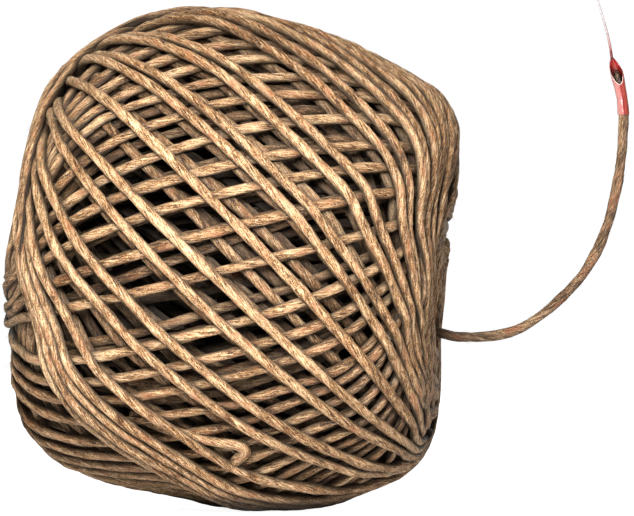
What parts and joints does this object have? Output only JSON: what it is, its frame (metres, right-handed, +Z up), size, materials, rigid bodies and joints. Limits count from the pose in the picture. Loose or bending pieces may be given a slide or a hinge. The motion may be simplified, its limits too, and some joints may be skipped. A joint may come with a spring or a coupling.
{
  "type": "ball of waxed cord",
  "caption": "Cross-wound centre-pull ball of brown waxed hemp cord for leather sewing, with its inner end drawn out as a free tail carrying a small red end sleeve.",
  "frame": {"origin": "on the resting flat, under the middle of the ball", "axes": "+X level, towards the end where the cord is drawn out; -Y towards the front; +Z up from the resting flat. The winding axis dips 14 degrees and swings 5 degrees to the front at its +X end"},
  "size_m": [0.0637, 0.0496, 0.0504],
  "materials": {
    "cord_core": "dark waxed fibre",
    "cord_courses": "waxed fibre, mottled tan and red brown",
    "cord_tail": "waxed fibre, satin",
    "red_sleeve": "translucent, glossy",
    "singed_cord": "blackened",
    "pale_thread": "fine drawn thread"
  },
  "bodies": {
    "ball": {"core_wraps": "cord_core", "inner_wraps": "cord_core", "middle_wraps": "cord_core", "under_wraps": "cord_courses", "outer_wraps": "cord_courses", "outer_end": "cord_courses"},
    "drawn_cord": {"inner_lead": "cord_tail"},
    "tail_1": {"tail_1": "cord_tail"},
    "tail_2": {"tail_2": "cord_tail"},
    "tail_3": {"tail_3": "cord_tail"},
    "tail_4": {"tail_4": "cord_tail"},
    "tail_5": {"tail_5": "cord_tail"},
    "tail_6": {"tail_6": "cord_tail"},
    "tail_7": {"tail_7": "cord_tail"},
    "tail_8": {"tail_8": "cord_tail", "end_sleeve": "red_sleeve", "singed_end": "singed_cord", "drawn_thread": "pale_thread"}
  },
  "joints": [
    {"name": "tail_pull", "type": "slide", "parent": "ball", "child": "drawn_cord", "axis": [0.9666, -0.0846, -0.2419], "range_m": [0, 0.016]},
    {"name": "tail_swing", "type": "hinge", "parent": "drawn_cord", "child": "tail_1", "pos_m": [0.02217, -0.00194, 0.01743], "axis": [0.9666, -0.0846, -0.2419], "range_deg": [-100, 100]},
    {"name": "tail_curl_2", "type": "hinge", "parent": "tail_1", "child": "tail_2", "pos_m": [0.02526, -0.00194, 0.01739], "axis": [0, -1, 0], "range_deg": [-12, 5]},
    {"name": "tail_curl_3", "type": "hinge", "parent": "tail_2", "child": "tail_3", "pos_m": [0.02762, -0.00194, 0.01785], "axis": [0, -1, 0], "range_deg": [-12, 5]},
    {"name": "tail_curl_4", "type": "hinge", "parent": "tail_3", "child": "tail_4", "pos_m": [0.02954, -0.00194, 0.01867], "axis": [0, -1, 0], "range_deg": [-12, 5]},
    {"name": "tail_curl_5", "type": "hinge", "parent": "tail_4", "child": "tail_5", "pos_m": [0.03212, -0.00194, 0.02048], "axis": [0, -1, 0], "range_deg": [-12, 5]},
    {"name": "tail_curl_6", "type": "hinge", "parent": "tail_5", "child": "tail_6", "pos_m": [0.03483, -0.00194, 0.0234], "axis": [0, -1, 0], "range_deg": [-12, 5]},
    {"name": "tail_curl_7", "type": "hinge", "parent": "tail_6", "child": "tail_7", "pos_m": [0.0366, -0.00194, 0.02636], "axis": [0, -1, 0], "range_deg": [-12, 5]},
    {"name": "tail_curl_8", "type": "hinge", "parent": "tail_7", "child": "tail_8", "pos_m": [0.03806, -0.00194, 0.03061], "axis": [0, -1, 0], "range_deg": [-12, 5]}
  ]
}
